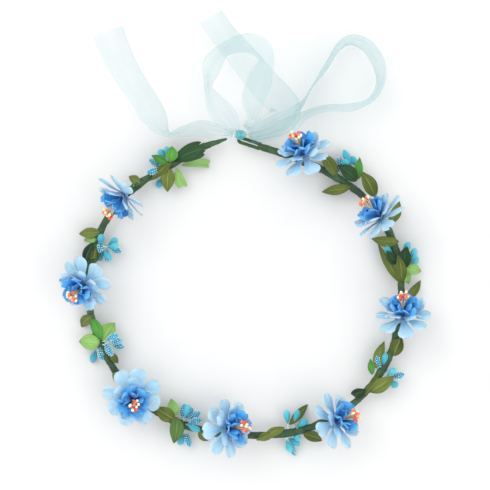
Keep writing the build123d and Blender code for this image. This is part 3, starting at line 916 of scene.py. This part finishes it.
def make_flower(number, hub_x, hub_y, azimuth, elevation):
    facing = bearings(azimuth, elevation)
    ahead, left, up = facing
    lower_tilt = min(86, max(60, elevation + 32))
    drop = OUTER_REACH * sin(radians(lower_tilt - elevation))
    hub = Vector((hub_x, hub_y, HOOP_HEIGHT + max(HUB_RISE, HUB_CLEARANCE + drop)))
    name, body = f"flower_{number}", f"flower_{number}"
    chance = random.Random(number)

    outer = Shape()
    heart_disc(outer, hub, facing, 2.8, 0.2)
    petal_ring(outer, OUTER, hub, facing, lower_tilt, chance)
    # The middle ring and its disc wear the shaded copy of the pale cloth, which carries painted shade.
    heart_disc(outer, hub, facing, 2.4, 1.2, 1)
    petal_ring(outer, MIDDLE, hub, facing, lower_tilt, chance, 1)
    outer.build(name + "_pale_whorl", [PALE, SHADED_PALE], body, [name + "_outer_petals"], PETAL_CLOTH)

    inner = Shape()
    heart_disc(inner, hub, facing, 2.0, 2.5)
    petal_ring(inner, INNER, hub, facing, lower_tilt, chance)
    petal_ring(inner, HEART, hub, facing, lower_tilt, chance, 1)
    inner.build(name + "_blue_whorl", [BLUE, DEEP], body, [name + "_inner_petals"], PETAL_CLOTH)

    tuft = Shape()
    root = hub + ahead * STAMEN_ROOT
    pod(tuft, root - ahead * 0.6, root + ahead * 1.4, 0.8, 0, 10, 8)
    for spoke in range(STAMENS):
        turn = spoke * 2.4 + chance.uniform(-0.3, 0.3)
        lean = radians(18) * sqrt((spoke + 0.3) / STAMENS)
        outward = up * cos(turn) + left * sin(turn)
        reach = (STAMEN_REACH - STAMEN_ROOT) * chance.uniform(0.78, 1.02)
        end = root + (ahead * cos(lean) + outward * sin(lean)) * reach
        elbow = root + ahead * reach * 0.5 + outward * sin(lean) * reach * 0.25
        line = flowing([root, elbow, end], 8)
        tube(tuft, line, lambda t, turn: 0.2, 6, 0, vary=chance.random())
        along = heading(line, 7)
        grain = chance.uniform(2.9, 3.7)
        tip_look = 1 if chance.random() < 0.66 else 2
        pod(tuft, end - along * 0.5, end + along * (grain - 0.5), chance.uniform(0.84, 1.02), tip_look,
            10, 8, 0.6, chance.random())
    tuft.build(name + "_tuft", [FILAMENT, CORAL, CREAM], body, [name + "_stamens"])

    stem = frame["nodes"][name + "_stem"]
    stem.data.materials.clear()
    stem.data.materials.append(STEM)


# ---- buds and leaves ------------------------------------------------------------
BALL = [
    Vector((cos(tau * j / 8) * cos(lift), sin(tau * j / 8) * cos(lift), sin(lift)))
    for lift in (radians(-58), radians(-20), radians(20), radians(58)) for j in range(8)
]


def bead(shape, middle, radius, look, vary):
    rows = [[middle + BALL[8 * i + j] * radius for j in range(8)] for i in range(4)]
    shape.grid(rows, look, closed=True, capped=True, vary=vary)


def beaded_pod(shape, base, tip, radius, chance):
    """A dark pod with beads sewn over it in staggered rings."""
    core = radius - BEAD
    pod(shape, base, tip, core, 1, vary=chance.random())
    ahead = (tip - base).normalized()
    side = ahead.cross(UP if abs(ahead.z) < 0.95 else Vector((1, 0, 0))).normalized()
    up = side.cross(ahead)
    length = (tip - base).length
    rings = int((length - 1.2) / (BEAD_SPACING * 0.86))
    for i in range(rings + 1):
        t = (0.9 + i * (length - 1.4) / rings) / length
        out = core * sin(pi * t ** (0.693 / -log(0.55))) ** 0.62 + 0.12
        count = max(1, round(tau * out / BEAD_SPACING)) if out > 0.5 else 1
        for j in range(count):
            turn = tau * (j + 0.5 * (i % 2)) / count + chance.uniform(-0.08, 0.08)
            middle = base + ahead * length * t + (side * cos(turn) + up * sin(turn)) * out
            bead(shape, middle, BEAD * chance.uniform(0.86, 1.12), 2, chance.random())


def make_buds(number, buds):
    shape = Shape()
    chance = random.Random(100 + number)
    for base, tip, radius in buds:
        base, tip = Vector(base), Vector(tip)
        if radius == SMOOTH:
            pod(shape, base, tip, radius * 1.12, 0, 20, 16, 0.66, chance.random(), 0.07)
        else:
            beaded_pod(shape, base, tip, radius * 1.06, chance)
        foot = nearest_on_hoop(base)
        start = base + (tip - base).normalized()
        end = start.lerp(foot, 1 - 1.2 / max((foot - start).length, 1.3))
        sag = (start + end) / 2 + Vector((chance.uniform(-0.5, 0.5), chance.uniform(-0.5, 0.5), 0.3))
        tube(shape, flowing([start, sag, end], 8), lambda t, turn: THREAD, 7, 3, vary=chance.random())
    name = f"bud_cluster_{number}"
    shape.build(name + "_pods", [POD, CORE, PEARL, FIBRE], "band", [name])


def blade(t):
    """Half-width of a leaf at t of its length, as a share of its widest."""
    return sin(pi * t ** 0.85) ** 0.8 * (1 - 0.25 * t ** 4)


def leaf(shape, base, tip, width, look, chance, torn):
    """One leaf: an arched rib, two halves folded up from it and a wavy edge.
    A torn one ends in a broad ragged edge instead of a point."""
    along = (tip - base).normalized()
    length = (tip - base).length
    side = UP.cross(along).normalized()
    face = along.cross(side)
    arch = chance.uniform(0.05, 0.1) * length
    fold = chance.uniform(0.1, 0.32)
    swing = chance.uniform(-0.06, 0.06) * length
    twist = radians(chance.uniform(-16, 16))
    wave = chance.uniform(0, tau)
    rows = []
    steps, ribs = 20, 10
    for i in range(steps + 1):
        t = i / steps
        bow = sin(pi * t)
        middle = base + along * length * t + face * arch * bow + side * swing * bow
        roll = twist * (t - 0.3)
        across = side * cos(roll) + face * sin(roll)
        normal = face * cos(roll) - side * sin(roll)
        half = max(width / 2 * 1.15 * blade(0.012 + (0.6 if torn else 0.98) * t), 0.12)
        row = []
        for j in range(ribs + 1):
            v = 2 * j / ribs - 1
            rise = fold * half * abs(v) + 0.35 * bow * abs(v) * sin(9 * t + wave + v)
            tear = torn * 0.16 * length * t ** 6 * abs(noise.noise(Vector((j * 0.9, wave, 3)))) * 2
            point = middle + across * v * half + normal * rise - along * tear
            row.append(over_tape(point, min(1, t / 0.15)))
        rows.append(row)
    shape.grid(rows, look, vary=chance.random())


def make_leaves(number, leaves):
    shape = Shape()
    chance = random.Random(200 + number)
    kinds = sorted({kind for base, tip, width, kind in leaves})
    for base, tip, width, kind in leaves:
        torn = number == 1 and kind in ("dark", "light")
        leaf(shape, Vector(base), Vector(tip), width, kinds.index(kind), chance, torn)
    name = f"leaves_{number}"
    shape.build(name + "_blades", [LEAF[kind] for kind in kinds], "band", [name], LEAF_CLOTH)


# ---- the ribbon -----------------------------------------------------------------
def make_ribbon(name, stations):
    """A run of ribbon: smooth between its stations, with a slight ripple, and
    drawn into pleats where it's gathered towards the knot."""
    values = [
        (x, y, lift + width / 2 * sin(radians(roll)) + RIBBON_THICKNESS / 2, roll, width)
        for x, y, lift, roll, width in stations
    ]
    samples = through(values, 14 * (len(stations) - 1) + 1)
    line = [Vector(sample[:3]) for sample in samples]
    rows, columns, reach = [], 24, 0
    for i, (x, y, z, roll, width) in enumerate(samples):
        ahead = heading(line, i)
        across = UP.cross(ahead).normalized()
        upward = ahead.cross(across)
        breadth = across * cos(radians(roll)) + upward * sin(radians(roll))
        normal = ahead.cross(breadth)
        reach += (line[i] - line[i - 1]).length if i else 0
        drawn = max(0, 1 - width / RIBBON_WIDTH)
        row = []
        for j in range(columns + 1):
            v = 2 * j / columns - 1
            pleat = 1.5 * drawn * sin(3.5 * pi * v + 0.6 * sin(reach / 9))
            ripple = 0.35 * noise.noise(Vector((v * 1.2, reach / 14, len(name))))
            point = line[i] + breadth * v * width / 2 + normal * (pleat + ripple * (1 - drawn))
            point.z = max(point.z, 0.25)
            row.append(point)
        rows.append(row)
    shape = Shape()
    shape.grid(rows, along=(0, reach / RIBBON_WIDTH))
    piece = shape.build("organza_" + name, [ORGANZA], "band", ["ribbon_" + name])


def make_knot():
    """One turn of the ribbon, folded in two along its length and pleated."""
    shape = Shape()
    for layer, (half, height, depth, slant) in enumerate([(2.9, 2.9, 2.5, 0.3), (3.2, 3.6, 3.0, -0.35)]):
        rows = []
        for i in range(41):
            v = 2 * i / 40 - 1
            taper = 1 - 0.42 * abs(v) ** 2.6
            row = []
            for j in range(48):
                turn = tau * j / 48
                pleat = 0.34 * sin(5.5 * pi * v + 1.3 * sin(turn + layer)) * (1 - 0.4 * v * v)
                lump = 0.5 * noise.noise(Vector((v, cos(turn) * 1.4, sin(turn) * 1.4 + 7 * layer)))
                out = taper + (pleat + lump) / 3.5
                x = half * v + slant * sin(turn) * 2
                row.append(KNOT + Vector((x, depth * out * cos(turn), height * out * sin(turn))))
            rows.append(row)
        shape.grid(rows, closed=True)
    knot = shape.build("organza_knot", [GATHERED], "band", ["ribbon_knot"])


# ---- everything -----------------------------------------------------------------
make_hoop()
make_eyelet()
wire = frame["nodes"]["band_wire"]
wire.data.materials.clear()
wire.data.materials.append(WIRE)
for number, flower in enumerate(FLOWERS, start=1):
    make_flower(number, *flower)
for number, buds in enumerate(BUDS, start=1):
    make_buds(number, buds)
for number, leaves in enumerate(LEAVES, start=1):
    make_leaves(number, leaves)
for name, stations in RIBBON.items():
    make_ribbon(name, stations)
make_knot()

FLOOR = 6.0  # half the floor's width, in metres
floor_corners = [(x * FLOOR, y * FLOOR, 0) for x, y in ((-1, -1), (1, -1), (1, 1), (-1, 1))]
floor_mesh = bpy.data.meshes.new("floor")
floor_mesh.from_pydata(floor_corners, [], [(0, 1, 2, 3)])
floor_mesh.materials.append(floor_look())
floor = bpy.data.objects.new("floor", floor_mesh)
bpy.context.scene.collection.objects.link(floor)
